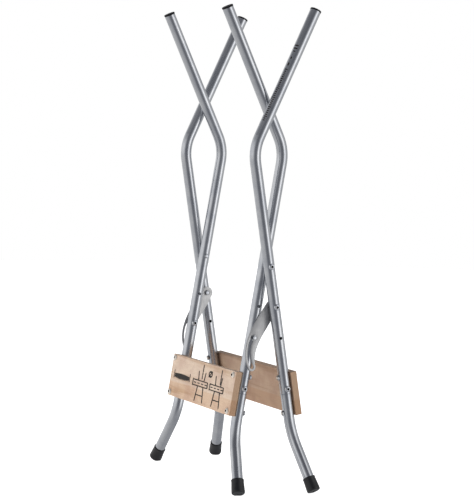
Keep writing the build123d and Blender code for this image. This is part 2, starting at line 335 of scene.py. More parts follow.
class PlugSettings(bpy.types.PropertyGroup):
    """Plastic plugs in the arms' top ends."""
    flange: size("Flange", "Thickness over the tube's end", 4)
    overhang: size("Overhang", "How much wider the flange is than the tube, all round", 0.5)
    edge_round: size("Edge round", "Round of the flange's edge", 1.2)
    stub: size("Stub", "Length inside the tube", 20)
    bore_gap: size("Tube wall", "Wall of the tube and the push fit", 1.6)
    plastic: colour("Plastic", "Black polyethylene", "#08080A")


class StudioSettings(bpy.types.PropertyGroup):
    """Camera, floor and lights."""
    camera_place: bpy.props.FloatVectorProperty(
        name="Camera", description="Where the camera stands", default=(3.7680, -1.7848, 0.7921),
        subtype="TRANSLATION", unit="LENGTH",
    )
    azimuth: turn("Azimuth", "Direction the camera looks from, round from the front", 64.529)
    elevation: turn("Elevation", "Camera above the horizon", 3.605)
    roll: turn("Roll", "Camera turned about its own axis", 1.191)
    lens: bpy.props.FloatProperty(
        name="Lens", description="Focal length on a 36 mm frame", default=129.16, unit="CAMERA",
    )
    surround: share("Surround", "Brightness of the studio around the object", 2.0, 10.0)
    key: bpy.props.FloatProperty(
        name="Key", description="Power of the soft light at the front", default=60.0, min=0.0, unit="POWER",
    )
    floor: colour("Floor", "Pale floor", "#FFFFFF")


GROUPS = {
    "layout": SawhorseLayout, "steel": SteelFinish, "board": BoardFinish, "feet": FootSettings,
    "plugs": PlugSettings, "studio": StudioSettings,
}


class SawhorseSettings(bpy.types.PropertyGroup):
    """All the sawhorse's settings."""
    __annotations__ = {name: bpy.props.PointerProperty(type=group) for name, group in GROUPS.items()}


# --- Materials ---
def zinc_plated_tube(steel):
    """Bright zinc on drawn steel tube. The plating is a soft blue-grey mirror that clouds in
    patches a few centimetres long, and the drawing leaves fine lines along the tube."""
    material, tree = new_material("bright_zinc_on_drawn_steel_tube")
    place = add(tree, "TexCoord").outputs["Object"]
    cloud = add(tree, "TexNoise", {"Vector": place, "Scale": per_metre(35), "Detail": 4.0, "Roughness": 0.6})
    along = add(tree, "Mapping", {"Vector": place, "Scale": (1, 1, 0.02)})
    lines = add(tree, "TexNoise", {"Vector": along, "Scale": per_metre(1.5), "Detail": 2.0})
    rubs = add(tree, "TexNoise", {"Vector": place, "Scale": per_metre(6), "Detail": 4.0, "Roughness": 0.7})
    patches = add(tree, "ValToRGB", {"Fac": cloud}, stops=[(0.42, 0.0), (0.66, 1.0)])
    base = add(tree, "Mix", {0: patches, 6: steel.tube, 7: steel.tube_cloud}, data_type="RGBA")
    rough = add(tree, "MapRange", [cloud, 0.3, 0.7, steel.tube_roughness - 0.02, steel.tube_roughness + 0.04])
    rubbed = add(tree, "MapRange", [rubs, 0.6, 0.75, 0.0, 0.08])
    roughness = add(tree, "Math", [rough, rubbed], operation="ADD")
    bump = add(tree, "Bump", {"Height": lines, "Strength": 0.08, "Distance": 0.005 * MM})
    finish_material(tree, add(tree, "BsdfPrincipled", {
        "Base Color": base, "Metallic": 1.0, "Roughness": roughness, "Normal": bump}))
    return material


def zinc_plated_sheet(steel):
    """Zinc on pressed sheet steel. The rolled surface is duller than the tube, with a grain along
    the sheet and faint rubbed arcs."""
    material, tree = new_material("satin_zinc_on_pressed_sheet_steel")
    place = add(tree, "TexCoord").outputs["Object"]
    cloud = add(tree, "TexNoise", {"Vector": place, "Scale": per_metre(18), "Detail": 4.0, "Roughness": 0.65})
    along = add(tree, "Mapping", {"Vector": place, "Scale": (1, 1, 0.03)})
    rolled = add(tree, "TexNoise", {"Vector": along, "Scale": per_metre(0.9), "Detail": 3.0})
    pits = add(tree, "TexNoise", {"Vector": place, "Scale": per_metre(0.9), "Detail": 3.0, "Roughness": 0.7})
    patches = add(tree, "ValToRGB", {"Fac": cloud}, stops=[
        (0.35, (0.84, 0.84, 0.85, 1)), (0.65, (1, 1, 1, 1))])
    base = add(tree, "Mix", {0: 1.0, 6: steel.plate, 7: patches}, data_type="RGBA", blend_type="MULTIPLY")
    rough = add(tree, "MapRange", [
        rolled, 0.3, 0.7, steel.plate_roughness - 0.05, steel.plate_roughness + 0.07])
    first = add(tree, "Bump", {"Height": rolled, "Strength": 0.35, "Distance": 0.03 * MM})
    second = add(tree, "Bump", {"Height": pits, "Strength": 0.3, "Distance": 0.02 * MM, "Normal": first})
    finish_material(tree, add(tree, "BsdfPrincipled", {
        "Base Color": base, "Metallic": 1.0, "Roughness": rough, "Normal": second}))
    return material


def zinc_plated_fastener(name, zinc, steel):
    """Clear-passivated zinc on cold-headed steel: bright, with a faint warm and blue tint from the
    passivation."""
    material, tree = new_material(f"clear_passivated_zinc_{name}")
    place = add(tree, "TexCoord").outputs["Object"]
    tint = add(tree, "TexNoise", {"Vector": place, "Scale": per_metre(7), "Detail": 2.0})
    tones = add(tree, "ValToRGB", {"Fac": tint}, stops=[
        (0.35, (0.95, 0.97, 1.0, 1)), (0.5, (1, 1, 1, 1)), (0.65, (1.0, 0.99, 0.96, 1))])
    base = add(tree, "Mix", {0: 1.0, 6: zinc, 7: tones}, data_type="RGBA", blend_type="MULTIPLY")
    grain = add(tree, "TexNoise", {"Vector": place, "Scale": per_metre(0.7), "Detail": 2.0})
    rough = add(tree, "MapRange", [
        grain, 0.3, 0.7, steel.fastener_roughness - 0.04, steel.fastener_roughness + 0.08])
    bump = add(tree, "Bump", {"Height": grain, "Strength": 0.3, "Distance": 0.015 * MM})
    finish_material(tree, add(tree, "BsdfPrincipled", {
        "Base Color": base, "Metallic": 1.0, "Roughness": rough, "Normal": bump}))
    return material


def satin_nickel(steel):
    """Satin nickel under a clear lacquer: pale, warm and soft, with hardly a reflection."""
    material, tree = new_material("lacquered_satin_nickel")
    place = add(tree, "TexCoord").outputs["Object"]
    cloud = add(tree, "TexNoise", {"Vector": place, "Scale": per_metre(3), "Detail": 3.0})
    tone = add(tree, "Mix", {0: cloud, 6: steel.nickel, 7: linear("#D2CABF")}, data_type="RGBA")
    rough = add(tree, "MapRange", [cloud, 0.3, 0.7, 0.42, 0.55])
    bump = add(tree, "Bump", {"Height": cloud, "Strength": 0.2, "Distance": 0.02 * MM})
    finish_material(tree, add(tree, "BsdfPrincipled", {
        "Base Color": tone, "Metallic": 0.5, "Roughness": rough, "Normal": bump}))
    return material


def socket_grease_and_shade(steel):
    """Black assembly grease and dirt at the bottom of a hexagon socket, dark and half wet, and darker still
    as painted shade for the socket's hollow.
    """
    material, tree = new_material("socket_grease_and_shade")
    place = add(tree, "TexCoord").outputs["Object"]
    lumps = add(tree, "TexNoise", {"Vector": place, "Scale": per_metre(0.8), "Detail": 3.0})
    tone = add(tree, "Mix", {0: lumps, 6: steel.grease_and_shade, 7: linear("#2A2723")}, data_type="RGBA")
    bump = add(tree, "Bump", {"Height": lumps, "Strength": 0.5, "Distance": 0.1 * MM})
    finish_material(tree, add(tree, "BsdfPrincipled", {"Base Color": tone, "Roughness": 0.5, "Normal": bump}))
    return material


# Plywood patterns: features per metre along the board, up it and through it.
GROWTH_BANDS = (3.2, 62, 90)
FIBRES = (28, 1100, 1100)
RAYS = (330, 1500, 1500)
INK_GRAIN = (60, 900, 900)
INSIDE_PLIES = 0.9995  # keeps the outer faces within the outer plies
GLUE_DEPTH = 0.6 * MM  # no glue line shows this near a face
SHEET_JOINT, JOINT_BLUR = -14.5 * MM, 0.7 * MM
JOINT_WANDER = 6 * MM  # how far the joint follows the growth bands


def beech_plywood(board, layout, frame_name):
    """Rotary-cut beech plywood, sanded and sealed. Broad growth bands and short dark rays run
    along the face, and the edges show the plies by turns as long grain and end grain."""
    material, tree = new_material(f"sealed_beech_plywood_{BOARDS[frame_name]}")
    facing = FRAMES[frame_name]
    middle = board_middle(layout, frame_name) - board_out(layout, facing) * layout.board_thickness / 2
    # Local X along the board, Y up it, Z through the plies.
    lean = pi / 2 + facing * layout.run_lean
    turned = Matrix.Rotation(-lean, 3, "X") @ middle
    place = add(tree, "TexCoord").outputs["Object"]
    local = add(tree, "Mapping", {"Vector": place, "Rotation": (-lean, 0, 0), "Location": -turned})
    axes = add(tree, "SeparateXYZ", [local])

    bands = add(tree, "Mapping", {"Vector": local, "Scale": GROWTH_BANDS})
    band = add(tree, "TexNoise", {
        "Vector": bands, "Scale": 1.0, "Detail": 5.0, "Roughness": 0.55, "Distortion": 0.6})
    fibres = add(tree, "Mapping", {"Vector": local, "Scale": FIBRES})
    fibre = add(tree, "TexNoise", {"Vector": fibres, "Scale": 1.0, "Detail": 3.0, "Roughness": 0.6})
    rays = add(tree, "Mapping", {"Vector": local, "Scale": RAYS})
    ray = add(tree, "TexNoise", {"Vector": rays, "Scale": 1.0, "Detail": 1.0})
    # The rear board takes the darker tones, which are painted shade.
    light, dark = (
        (board.shaded_rear_veneer, board.shaded_rear_band) if frame_name == "outer" else (board.face, board.face_dark))
    tone = add(tree, "ValToRGB", {"Fac": band}, stops=[(0.34, dark), (0.5, light), (0.7, light)])
    blotch = add(tree, "TexNoise", {"Vector": local, "Scale": per_metre(45), "Detail": 3.0, "Roughness": 0.6})
    blush = add(tree, "ValToRGB", {"Fac": blotch}, stops=[(0.38, (0.86, 0.80, 0.80, 1)), (0.6, (1, 1, 1, 1))])
    mottled = add(tree, "Mix", {0: 1.0, 6: tone, 7: blush}, data_type="RGBA", blend_type="MULTIPLY")
    fibre_tone = add(tree, "ValToRGB", {"Fac": fibre}, stops=[
        (0.3, (0.86, 0.83, 0.8, 1)), (0.62, (1, 1, 1, 1))])
    veneer = add(tree, "Mix", {0: 1.0, 6: mottled, 7: fibre_tone}, data_type="RGBA", blend_type="MULTIPLY")
    ray_mask = add(tree, "ValToRGB", {"Fac": ray}, stops=[(0.62, 0.0), (0.7, 0.55)])
    face = add(tree, "Mix", {0: ray_mask, 6: veneer, 7: board.fleck}, data_type="RGBA")

    # Plies: even ones have their grain along the board, odd ones across it.
    ply = add(tree, "Math", [
        axes.outputs["Z"], board.ply_count / layout.board_thickness * INSIDE_PLIES, board.ply_count / 2],
        operation="MULTIPLY_ADD")
    number = add(tree, "Math", [ply], operation="FLOOR")
    odd = add(tree, "Math", [number, 2.0], operation="MODULO")
    # The boards' ends take the darker edge and cross-ply colours: partly the plies' grain, partly painted
    # shade for ends turned away from the light.
    normal = add(tree, "SeparateXYZ", [add(tree, "NewGeometry").outputs["Normal"]])
    sideways = add(tree, "Math", [normal.outputs["X"]], operation="ABSOLUTE")
    board_end = add(tree, "Math", [sideways, 0.7], operation="GREATER_THAN")
    crossed = add(tree, "Math", [odd, board_end], operation="SUBTRACT")
    end_grain = add(tree, "Math", [crossed], operation="ABSOLUTE")
    pores = add(tree, "TexNoise", {"Vector": local, "Scale": per_metre(0.8), "Detail": 3.0, "Roughness": 0.7})
    end_grain_and_shade_tone = add(tree, "Mix", {0: pores, 6: board.core, 7: board.edge}, data_type="RGBA")
    long_grain_with_shaded_ends = add(tree, "Mix", {0: board_end, 6: face, 7: board.edge}, data_type="RGBA")
    plies = add(tree, "Mix", {0: end_grain, 6: long_grain_with_shaded_ends, 7: end_grain_and_shade_tone}, data_type="RGBA")
    within = add(tree, "Math", [ply], operation="FRACT")
    off_middle = add(tree, "Math", [within, 0.5], operation="SUBTRACT")
    to_edge = add(tree, "Math", [off_middle], operation="ABSOLUTE")
    line = add(tree, "MapRange", [to_edge, 0.4, 0.5, 0.0, 0.7])
    through = add(tree, "Math", [axes.outputs["Z"]], operation="ABSOLUTE")
    inside = add(tree, "Math", [through, layout.board_thickness / 2 - GLUE_DEPTH], operation="LESS_THAN")
    glue_mask = add(tree, "Math", [line, inside], operation="MULTIPLY")
    glued = add(tree, "Mix", {0: glue_mask, 6: plies, 7: board.glue}, data_type="RGBA")

    # The face veneer is laid from two sheets whose tones differ a little.
    wander = add(tree, "Math", [band, JOINT_WANDER, -JOINT_WANDER / 2], operation="MULTIPLY_ADD")
    joint = add(tree, "Math", [axes.outputs["Y"], wander], operation="ADD")
    lower = add(tree, "MapRange", [joint, SHEET_JOINT - JOINT_BLUR, SHEET_JOINT + JOINT_BLUR, 1.0, 0.0])
    sheet = add(tree, "Mix", {0: lower, 6: (1, 1, 1, 1), 7: (0.96, 0.87, 0.78, 1)}, data_type="RGBA")
    toned = add(tree, "Mix", {0: 1.0, 6: glued, 7: sheet}, data_type="RGBA", blend_type="MULTIPLY")

    rough = add(tree, "MapRange", [fibre, 0.3, 0.7, 0.42, 0.58])
    first = add(tree, "Bump", {"Height": fibre, "Strength": 0.35, "Distance": 0.05 * MM})
    second = add(tree, "Bump", {"Height": glue_mask, "Strength": 0.4, "Distance": 0.08 * MM, "Normal": first})
    finish_material(tree, add(tree, "BsdfPrincipled", {
        "Base Color": toned, "Roughness": rough, "IOR": 1.5, "Normal": second}))
    return material


def screen_ink(board):
    """Screen-printed ink on wood: matt, a little broken where the fibres stood up."""
    material, tree = new_material("screen_printed_ink")
    place = add(tree, "TexCoord").outputs["Object"]
    grain = add(tree, "Mapping", {"Vector": place, "Scale": INK_GRAIN})
    broken = add(tree, "TexNoise", {"Vector": grain, "Scale": 1.0, "Detail": 3.0})
    mask = add(tree, "ValToRGB", {"Fac": broken}, stops=[(0.6, 0.0), (0.78, 0.4)])
    base = add(tree, "Mix", {0: mask, 6: board.ink, 7: board.fleck}, data_type="RGBA")
    bump = add(tree, "Bump", {"Height": broken, "Strength": 0.3, "Distance": 0.03 * MM})
    finish_material(tree, add(tree, "BsdfPrincipled", {
        "Base Color": base, "Roughness": 0.62, "Normal": bump}))
    return material


def black_rubber(feet):
    """Black moulded rubber: matt with a low sheen, finely pitted, and dusty near the floor."""
    material, tree = new_material("moulded_black_rubber")
    place = add(tree, "TexCoord").outputs["Object"]
    pits = add(tree, "TexNoise", {"Vector": place, "Scale": per_metre(0.9), "Detail": 4.0, "Roughness": 0.65})
    smears = add(tree, "TexNoise", {"Vector": place, "Scale": per_metre(9), "Detail": 5.0, "Roughness": 0.7})
    height = add(tree, "SeparateXYZ", [place])
    near_floor = add(tree, "MapRange", [height.outputs["Z"], 0.0, 14 * MM, 0.7, 0.1])
    patches = add(tree, "MapRange", [smears, 0.45, 0.75, 0.0, 0.6])
    dusty = add(tree, "Math", [near_floor, patches], operation="MULTIPLY")
    base = add(tree, "Mix", {0: dusty, 6: feet.rubber, 7: feet.dust}, data_type="RGBA")
    rough = add(tree, "MapRange", [smears, 0.3, 0.7, 0.34, 0.5])
    bump = add(tree, "Bump", {"Height": pits, "Strength": 0.5, "Distance": 0.08 * MM})
    finish_material(tree, add(tree, "BsdfPrincipled", {
        "Base Color": base, "Roughness": rough, "IOR": 1.52, "Normal": bump}))
    return material


def black_plastic(plugs):
    """Black moulded polyethylene: smooth and waxy, with a fine moulded texture."""
    material, tree = new_material("moulded_black_polyethylene")
    place = add(tree, "TexCoord").outputs["Object"]
    texture = add(tree, "TexNoise", {
        "Vector": place, "Scale": per_metre(0.6), "Detail": 3.0, "Roughness": 0.6})
    scuffs = add(tree, "TexNoise", {"Vector": place, "Scale": per_metre(6), "Detail": 4.0, "Roughness": 0.7})
    base = add(tree, "Mix", {0: scuffs, 6: plugs.plastic, 7: linear("#101113")}, data_type="RGBA")
    rough = add(tree, "MapRange", [scuffs, 0.3, 0.7, 0.45, 0.6])
    bump = add(tree, "Bump", {"Height": texture, "Strength": 0.4, "Distance": 0.04 * MM})
    finish_material(tree, add(tree, "BsdfPrincipled", {
        "Base Color": base, "Roughness": rough, "IOR": 1.35, "Normal": bump}))
    return material


# --- Operators ---
class SAWHORSE_OT_tubes(bpy.types.Operator):
    """Gives the leg and foot tubes their zinc plating"""
    bl_idname = "sawhorse.tubes"
    bl_label = "Leg Tubes"

    def execute(self, context):
        zinc = zinc_plated_tube(context.scene.sawhorse.steel)
        for frame_name in FRAMES:
            for side in SIDES:
                paint(zinc, f"{frame_name}_{side}_upper_tube", f"{frame_name}_{side}_foot_tube")
        return {"FINISHED"}


class SAWHORSE_OT_stays(bpy.types.Operator):
    """Breaks the punched edges of the slotted stays and plates them"""
    bl_idname = "sawhorse.stays"
    bl_label = "Slotted Stays"

    def execute(self, context):
        steel = context.scene.sawhorse.steel
        zinc = zinc_plated_sheet(steel)
        for side in SIDES:
            bm = cad_copy(f"{side}_stay")
            bmesh.ops.dissolve_limit(bm, angle_limit=radians(0.5), verts=bm.verts, edges=bm.edges)
            rims = [e for e in bm.edges if len(e.link_faces) == 2 and e.calc_face_angle(0.0) > radians(60)]
            bmesh.ops.bevel(
                bm, geom=rims, offset=steel.edge_break, offset_type="OFFSET", segments=2, profile=0.5,
                affect="EDGES", material=-1, clamp_overlap=True,
            )
            bmesh.ops.triangulate(bm, faces=[f for f in bm.faces if len(f.verts) > 4])
            shape(f"{side}_stay_plate", bm, f"{side}_stay_arm", [zinc], [f"{side}_stay"])
        return {"FINISHED"}


def loose_parts(bm):
    """Vertices of each separate part of a mesh."""
    parts, seen = [], set()
    for first in bm.verts:
        if first in seen:
            continue
        part, queue = [], [first]
        seen.add(first)
        while queue:
            vert = queue.pop()
            part.append(vert)
            near = {e.other_vert(vert) for e in vert.link_edges} - seen
            seen |= near
            queue.extend(near)
        parts.append(part)
    return parts


SOCKET_REACH = 3.4 * MM  # socket faces lie this near a bolt's axis
SOCKET_DEPTHS = (0.5 * MM, 3.2 * MM)  # and between these depths under the head's top


def mark_socket_grease_and_shade(bm, axis):
    """Gives the second material, grease and painted shade, to the faces inside each bolt's socket, whichever
    way it points.
    """
    flat = placed((0, 0, 0), axis).inverted().to_3x3()
    for part in loose_parts(bm):
        spots = {v: flat @ v.co for v in part}
        lows, highs = ([ends(s[i] for s in spots.values()) for i in range(3)] for ends in (min, max))
        middle = Vector([(a + b) / 2 for a, b in zip(lows, highs)])
        widest = max(spots.values(), key=lambda s: (s - middle).xy.length)
        head = 1 if widest.z > middle.z else -1
        tip = highs[2] - middle.z
        for face in faces_of(part):
            away = flat @ face.calc_center_median() - middle
            depth = tip - head * away.z
            if away.xy.length < SOCKET_REACH and SOCKET_DEPTHS[0] < depth < SOCKET_DEPTHS[1]:
                face.material_index = 1


class SAWHORSE_OT_fasteners(bpy.types.Operator):
    """Plates the bolts, nuts and washers, and darkens the bolts' sockets with grease and painted shade"""
    bl_idname = "sawhorse.fasteners"
    bl_label = "Fasteners"

    def execute(self, context):
        settings = context.scene.sawhorse
        steel = settings.steel
        zinc = zinc_plated_fastener("bolt", steel.fastener, steel)
        dull = zinc_plated_fastener("nut", steel.nut, steel)
        nickel, grease_and_shade = satin_nickel(steel), socket_grease_and_shade(steel)
        paint(dull, *[n for n in frame["nodes"] if n.endswith(("nuts", "_nut", "_spacer", "_washer"))])
        board_bolts = {f"{BOARDS[frame_name]}_bolts": facing for frame_name, facing in FRAMES.items()}
        for body, names in frame["record"]["behaviour"]["bodies"].items():
            for name in names:
                if not name.endswith(("bolts", "_bolt")):
                    continue
                bm = cad_copy(name)
                on_board = board_bolts.get(name)
                mark_socket_grease_and_shade(bm, board_out(settings.layout, on_board) if on_board else X_AXIS)
                plating = [nickel if on_board else zinc, grease_and_shade]
                shape(f"{name}_plated", bm, body, plating, [name])
        return {"FINISHED"}


class SAWHORSE_OT_boards(bpy.types.Operator):
    """Gives the two boards their plywood"""
    bl_idname = "sawhorse.boards"
    bl_label = "Boards"

    def execute(self, context):
        settings = context.scene.sawhorse
        for frame_name, name in BOARDS.items():
            paint(beech_plywood(settings.board, settings.layout, frame_name), name)
        return {"FINISHED"}


def capsule(bm, start, end, width, height):
    """Flat bar with round ends between two points of the face, standing height above it."""
    start, end = Vector((*start, 0)), Vector((*end, 0))
    new = bmesh.ops.create_circle(bm, cap_ends=True, segments=16, radius=width / 2)["verts"]
    run = end - start
    for vert in new:
        if vert.co.x > WELD:
            vert.co.x += run.length
    bmesh.ops.rotate(
        bm, verts=new, cent=(0, 0, 0), matrix=X_AXIS.rotation_difference(run).to_matrix())
    bmesh.ops.translate(bm, verts=new, vec=start)
    raise_faces(bm, faces_of(new), height)


def raise_faces(bm, faces, height):
    """Gives flat faces a thickness along Z."""
    raised = bmesh.ops.extrude_face_region(bm, geom=faces)["geom"]
    bmesh.ops.translate(
        bm, verts=[g for g in raised if isinstance(g, bmesh.types.BMVert)], vec=(0, 0, height))


def ring(bm, centre, radii, width, height):
    """Flat oval ring on the face."""
    new = bmesh.ops.create_circle(bm, cap_ends=True, segments=28, radius=1.0)["verts"]
    bmesh.ops.scale(bm, verts=new, vec=(*radii, 1))
    bmesh.ops.translate(bm, verts=new, vec=(*centre, 0))
    face = faces_of(new)
    inset = bmesh.ops.inset_region(bm, faces=face, thickness=width, use_even_offset=True, use_boundary=True)
    bmesh.ops.delete(bm, geom=face, context="FACES_ONLY")
    raise_faces(bm, [f for f in inset["faces"] if f.is_valid], height)


def trestle_sign(bm, log_from, log_to, cut, spread, height):
    """Small picture of a log on a trestle, with a broken line where the saw goes."""
    flat, upright = 2.6 * MM, 5 * MM  # thickness of level lines, and of upright ones
    top, low = 5.5 * MM, -7.5 * MM  # the log's edges
    middle, half = (top + low) / 2, (top - low) / 2
    rack, rack_lean = (8 * MM, 25 * MM), 3 * MM  # posts above the log
    legs, leg_lean = (-10 * MM, -42 * MM), 6 * MM  # legs under it
    tie, tie_end = -28 * MM, 2.5 * MM  # bar between the legs
    saw_line, dash_step, dash = 12 * MM, 8.5 * MM, 4.5 * MM
    for level in (top, low):
        capsule(bm, (log_from, level), (log_to, level), flat, height)
    ring(bm, (log_to, middle), (3.4 * MM, half + flat / 2), flat, height)
    capsule(bm, (log_from - 1 * MM, top), (log_from - 1 * MM, low), upright, height)
    dashes = 4
    for i in range(dashes):
        start = log_from + (log_to - log_from) * (i + 0.3) / dashes
        capsule(bm, (start, middle), (start + (log_to - log_from) * 0.5 / dashes, middle), flat, height)
    left, right = spread
    for foot, lean in ((left, -1), (right, 1)):
        for (near, far), reach in ((rack, rack_lean), (legs, leg_lean)):
            capsule(bm, (foot, near), (foot + lean * reach, far), upright, height)
    capsule(bm, (left - tie_end, tie), (right + tie_end, tie), flat, height)
    for i in range(4):
        start = saw_line + i * dash_step
        capsule(bm, (cut, start), (cut, start + dash), upright, height)


def saw_sign(bm, left, right, middle, depth, height):
    """Silhouette of a two-handed crosscut saw."""
    teeth = 22
    blade, lift, belly, tooth, crown = (part * depth for part in (0.7, 0.1, 0.18, 0.2, 0.12))
    handle, handle_gap, handle_low, handle_high = 4 * MM, 3 * MM, 0.25 * depth, 0.7 * depth
    new = bmesh.ops.create_grid(bm, x_segments=2 * teeth, y_segments=1, size=0.5)["verts"]
    bmesh.ops.scale(bm, verts=new, vec=(right - left, blade, 1))
    bmesh.ops.translate(bm, verts=new, vec=((left + right) / 2, middle + lift, 0))
    for vert in new:
        across = (vert.co.x - left) / (right - left)
        if vert.co.y < middle:
            vert.co.y += 4 * (across - 0.5) ** 2 * belly
            if round(across * 2 * teeth) % 2:
                vert.co.y -= tooth
        else:
            vert.co.y -= 4 * (across - 0.5) ** 2 * crown
    raise_faces(bm, faces_of(new), height)
    for x in (left - handle_gap, right + handle_gap):
        capsule(bm, (x, middle - handle_low), (x, middle + handle_high), handle, height)


class SAWHORSE_OT_board_print(bpy.types.Operator):
    """Prints the plain use signs on the front board"""
    bl_idname = "sawhorse.board_print"
    bl_label = "Board Print"

    def execute(self, context):
        settings = context.scene.sawhorse
        layout, board = settings.layout, settings.board
        bm = bmesh.new()
        height = board.ink_height
        # From left to right, in millimetres from the middle of the board.
        saw_sign(bm, -150 * MM, -66 * MM, 0, 17 * MM, height)
        trestle_sign(bm, -42 * MM, 38 * MM, 4 * MM, (-14 * MM, 17 * MM), height)
        trestle_sign(bm, 52 * MM, 124 * MM, 104 * MM, (80 * MM, 108 * MM), height)
        ring(bm, (46 * MM, 27 * MM), (11 * MM, 8 * MM), 4.5 * MM, height)
        capsule(bm, (38 * MM, 21 * MM), (54 * MM, 33 * MM), 4 * MM, height)
        bmesh.ops.recalc_face_normals(bm, faces=bm.faces)
        facing = FRAMES["inner"]
        place = placed(board_middle(layout, "inner"), board_out(layout, facing))
        bmesh.ops.transform(bm, matrix=place, verts=bm.verts)
        shape("front_board_print", bm, "inner_frame", [screen_ink(board)])
        return {"FINISHED"}


def tube_mark(bm, centre, along, face_turn, wide_turn, length, radius, height):
    """Curved bar on a tube: centred at a turn about it, with a width as an angle."""
    before = set(bm.verts)
    sunk = 0.05 * MM
    low, high = radius - sunk, radius + height
    corners = [(low, -length / 2), (high, -length / 2), (high, length / 2), (low, length / 2)]
    made = [bm.verts.new((r, 0, z)) for r, z in corners]
    start = bm.faces.new(made)
    bmesh.ops.spin(
        bm, geom=[start, *start.edges, *start.verts], cent=(0, 0, 0), axis=(0, 0, 1), angle=wide_turn,
        steps=max(2, round(degrees(wide_turn) / 8)), use_duplicate=False)
    new = [v for v in bm.verts if v not in before]
    bmesh.ops.rotate(
        bm, verts=new, cent=(0, 0, 0), matrix=Matrix.Rotation(face_turn - wide_turn / 2, 3, "Z"))
    bmesh.ops.transform(bm, matrix=placed(centre, along), verts=new)


class SAWHORSE_OT_arm_scale(bpy.types.Operator):
    """Prints the plain length scale on the outer right arm"""
    bl_idname = "sawhorse.arm_scale"
    bl_label = "Arm Scale"

    def execute(self, context):
        settings = context.scene.sawhorse
        layout, board = settings.layout, settings.board
        bm = bmesh.new()
        along = arm_up(layout, FRAMES["outer"])
        radius = layout.tube_diameter / 2
        front = radians(-60)
        # Height in metres, width round the tube in degrees, and length in millimetres.
        marks = [(0.994, 46, 3.0), (0.9875, 46, 3.0), (0.981, 30, 2.4), (0.966, 16, 5.0), (0.952, 18, 7.0)]
        first, step, ticks = 0.940, 0.0042, 28
        marks += [(first - step * i, 40 if i % 5 == 0 else 26, 2.2) for i in range(ticks)]
        for height, wide, length in marks:
            centre = on_arm(layout, 1, "outer", height)
            tube_mark(bm, centre, along, front, radians(wide), length * MM, radius, board.ink_height)
        bmesh.ops.recalc_face_normals(bm, faces=bm.faces)
        shape("arm_scale", bm, "outer_frame", [screen_ink(board)])
        return {"FINISHED"}


class SAWHORSE_OT_rubber_feet(bpy.types.Operator):
    """Models the four rubber feet with their mouth bead, groove and tread"""
    bl_idname = "sawhorse.rubber_feet"
    bl_label = "Rubber Feet"

    def execute(self, context):
        settings = context.scene.sawhorse
        layout, feet = settings.layout, settings.feet
        rubber = black_rubber(feet)
        outside = layout.tube_diameter / 2 + feet.wall
        mouth = layout.tube_diameter / 2 + feet.mouth_wall
        push_fit = 0.1 * MM
        inside = layout.tube_diameter / 2 + push_fit
        tread, top, roll = 0.9 * MM, feet.length, 0.8 * MM  # tread depth, mouth, bead's round
        # The sole's recessed middle, a raised ring, a groove and the outer land; then the side and the mouth.
        outline = [(0, tread), (3.6 * MM, tread), (4.2 * MM, 0), (6.2 * MM, 0), (6.8 * MM, tread),
                   (8.2 * MM, tread), (8.8 * MM, 0)]
        outline += rounded((outside - feet.edge_round, feet.edge_round), feet.edge_round, -90, 0, 7)
        outline += [(outside, 2 * feet.edge_round), (mouth, top - 3.4 * MM),
                    (mouth + feet.bead * 0.6, top - 2.8 * MM)]
        outline += rounded((mouth + feet.bead - roll, top - 1.9 * MM), roll, -35, 0, 2)
        outline += rounded((mouth + feet.bead - roll, top - roll), roll, 0, 90, 4)
        outline += [(inside + 0.4 * MM, top), (inside, top - 0.5 * MM), (inside, feet.sole), (0, feet.sole)]
        for frame_name, facing in FRAMES.items():
            for side_name, side in SIDES.items():
                bm = bmesh.new()
                down = foot_down(layout, side, facing)
                sole = placed(sole_middle(layout, feet, side, frame_name), -down)
                settle(bm, spun(bm, outline, 64), sole)
                cut = bmesh.ops.bisect_plane(
                    bm, geom=[*bm.verts, *bm.edges, *bm.faces], plane_co=(0, 0, 0), plane_no=(0, 0, 1),
                    clear_inner=True)
                rims = [e for e in cut["geom_cut"] if isinstance(e, bmesh.types.BMEdge)]
                bmesh.ops.holes_fill(bm, edges=rims, sides=0)
                bmesh.ops.recalc_face_normals(bm, faces=bm.faces)
                name = f"{frame_name}_{side_name}_rubber_foot"
                shape(f"{name}_moulded", bm, BODIES[frame_name], [rubber], [name])
        return {"FINISHED"}


class SAWHORSE_OT_top_plugs(bpy.types.Operator):
    """Models the plastic plugs in the tops of the arms"""
    bl_idname = "sawhorse.top_plugs"
    bl_label = "Top Plugs"

    def execute(self, context):
        settings = context.scene.sawhorse
        layout, plugs = settings.layout, settings.plugs
        plastic = black_plastic(plugs)
        outside = layout.tube_diameter / 2 + plugs.overhang
        stub = layout.tube_diameter / 2 - plugs.bore_gap
        under = -plugs.flange + layout.seat_gap
        stub_wall = 2.5 * MM
        # The gate mark in the middle, a groove near the edge, the flange's round and the stub.
        outline = [(0, -0.5 * MM), (1.5 * MM, -0.5 * MM), (1.8 * MM, -0.15 * MM), (8.4 * MM, 0),
                   (8.8 * MM, -0.3 * MM), (9.4 * MM, -0.3 * MM), (9.8 * MM, 0)]
        outline += rounded((outside - plugs.edge_round, -plugs.edge_round), plugs.edge_round, 90, 0, 6)
        outline += [(outside, under + 0.15 * MM), (outside - 0.15 * MM, under), (stub, under),
                    (stub, under - plugs.stub), (stub - stub_wall, under - plugs.stub),
                    (stub - stub_wall, -plugs.flange), (0, -plugs.flange)]
        for frame_name, facing in FRAMES.items():
            for side_name, side in SIDES.items():
                bm = bmesh.new()
                top = on_arm(layout, side, frame_name, layout.top_height)
                settle(bm, spun(bm, outline, 48), placed(top, arm_up(layout, facing)))
                name = f"{frame_name}_{side_name}_top_plug"
                shape(f"{name}_moulded", bm, BODIES[frame_name], [plastic], [name])
        return {"FINISHED"}


